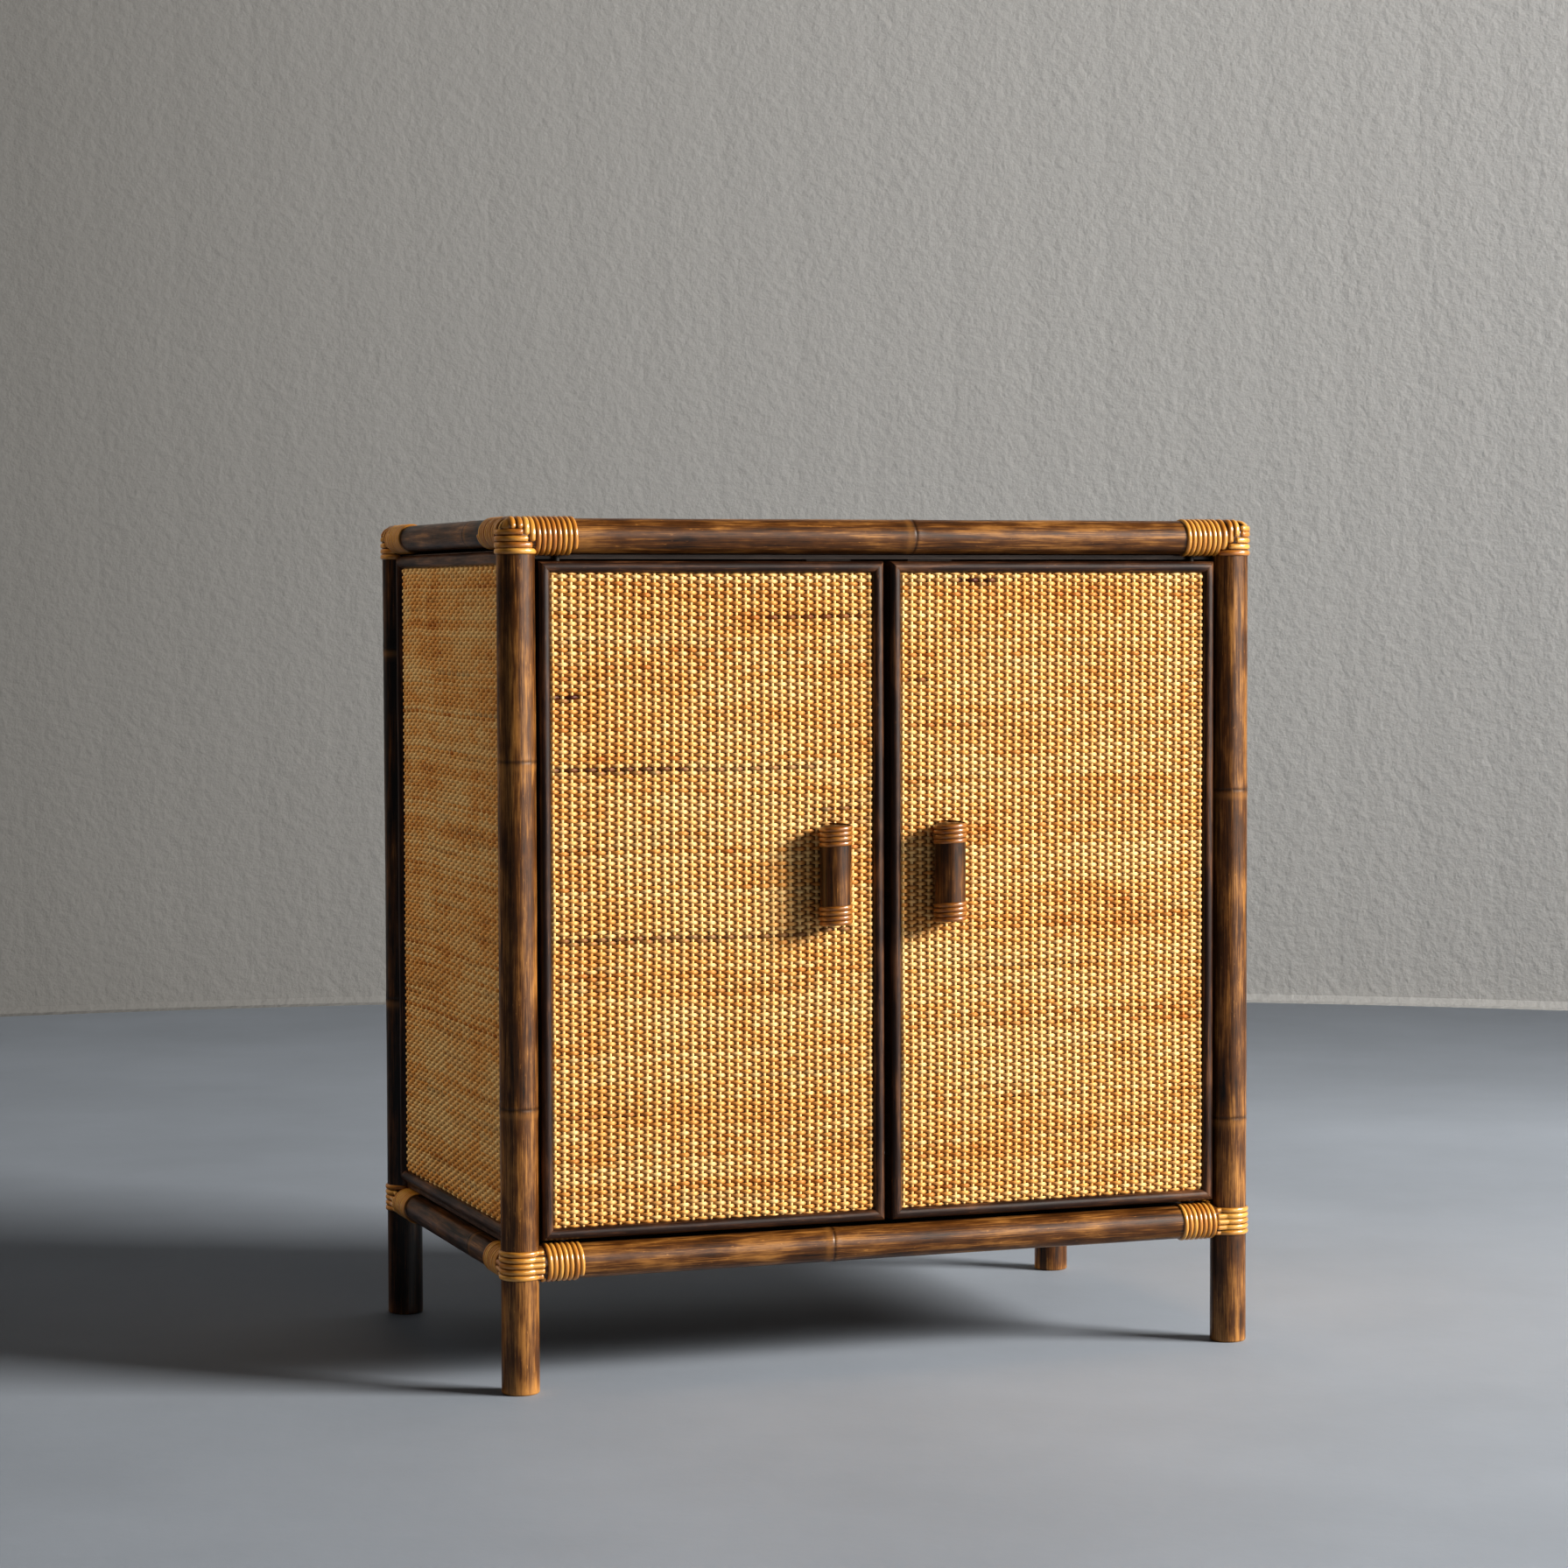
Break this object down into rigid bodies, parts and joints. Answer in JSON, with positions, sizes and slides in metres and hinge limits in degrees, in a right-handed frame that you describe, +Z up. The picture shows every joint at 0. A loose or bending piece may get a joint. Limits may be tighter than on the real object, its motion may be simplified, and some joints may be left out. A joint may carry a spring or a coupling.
{
  "type": "storage side table",
  "caption": "Side table with a closed cupboard: rattan pole frame lashed with split cane at its corners, woven panels and a pair of outward swinging doors with pole handles.",
  "frame": {"origin": "on the floor, at the middle of the whole table's outline", "axes": "+Z up, +X to the right of someone who faces the doors, -Y out of the front"},
  "size_m": [0.6826, 0.438, 0.7224],
  "materials": {
    "stained_pole": "whole rattan poles, dark walnut stain under a glossy lacquer",
    "stained_trim": "half-round rattan strips, dark walnut stain, glossy lacquer",
    "split_cane": "split cane with its glossy bark outside, amber",
    "woven_rattan": "plain woven rattan core strips, honey gold, clear satin lacquer",
    "inner_board": "plywood stained brown, matt lacquer",
    "zinc_steel": "zinc plated steel",
    "bush_brass": "turned brass",
    "catch_plastic": "moulded brown plastic"
  },
  "bodies": {
    "carcass": {"back_board": "inner_board", "batten_back": "inner_board", "batten_front": "inner_board", "floor_board": "inner_board", "lashings_bottom": "split_cane", "lashings_top": "split_cane", "magnetic_catches": "catch_plastic", "pivot_pins": "zinc_steel", "pivot_washers": "zinc_steel", "post_back_left": "stained_pole", "post_back_right": "stained_pole", "post_front_left": "stained_pole", "post_front_right": "stained_pole", "rail_back_bottom": "stained_pole", "rail_back_top": "stained_pole", "rail_front_bottom": "stained_pole", "rail_front_top": "stained_pole", "rail_left_bottom": "stained_pole", "rail_left_top": "stained_pole", "rail_right_bottom": "stained_pole", "rail_right_top": "stained_pole", "shelf": "inner_board", "shelf_cleats": "inner_board", "side_board_left": "inner_board", "side_board_right": "inner_board", "side_mat_left": "woven_rattan", "side_mat_right": "woven_rattan", "side_trims_left": "stained_trim", "side_trims_right": "stained_trim", "top_board": "inner_board", "top_mat": "woven_rattan", "top_trims": "stained_trim"},
    "door_left": {"door_left_board": "inner_board", "door_left_bushes": "bush_brass", "door_left_mat": "woven_rattan", "door_left_strike_plate": "zinc_steel", "door_left_trim_bottom": "stained_trim", "door_left_trim_left": "stained_trim", "door_left_trim_right": "stained_trim", "door_left_trim_top": "stained_trim", "handle_left": "stained_pole", "handle_left_wraps": "split_cane"},
    "door_right": {"door_right_board": "inner_board", "door_right_bushes": "bush_brass", "door_right_mat": "woven_rattan", "door_right_strike_plate": "zinc_steel", "door_right_trim_bottom": "stained_trim", "door_right_trim_left": "stained_trim", "door_right_trim_right": "stained_trim", "door_right_trim_top": "stained_trim", "handle_right": "stained_pole", "handle_right_wraps": "split_cane"}
  },
  "joints": [
    {"name": "door_left_swing", "type": "hinge", "parent": "carcass", "child": "door_left", "pos_m": [-0.2875, -0.1822, 0.4], "axis": [0, 0, -1], "range_deg": [0, 110]},
    {"name": "door_right_swing", "type": "hinge", "parent": "carcass", "child": "door_right", "pos_m": [0.2875, -0.1822, 0.4], "axis": [0, 0, 1], "range_deg": [0, 110]}
  ]
}
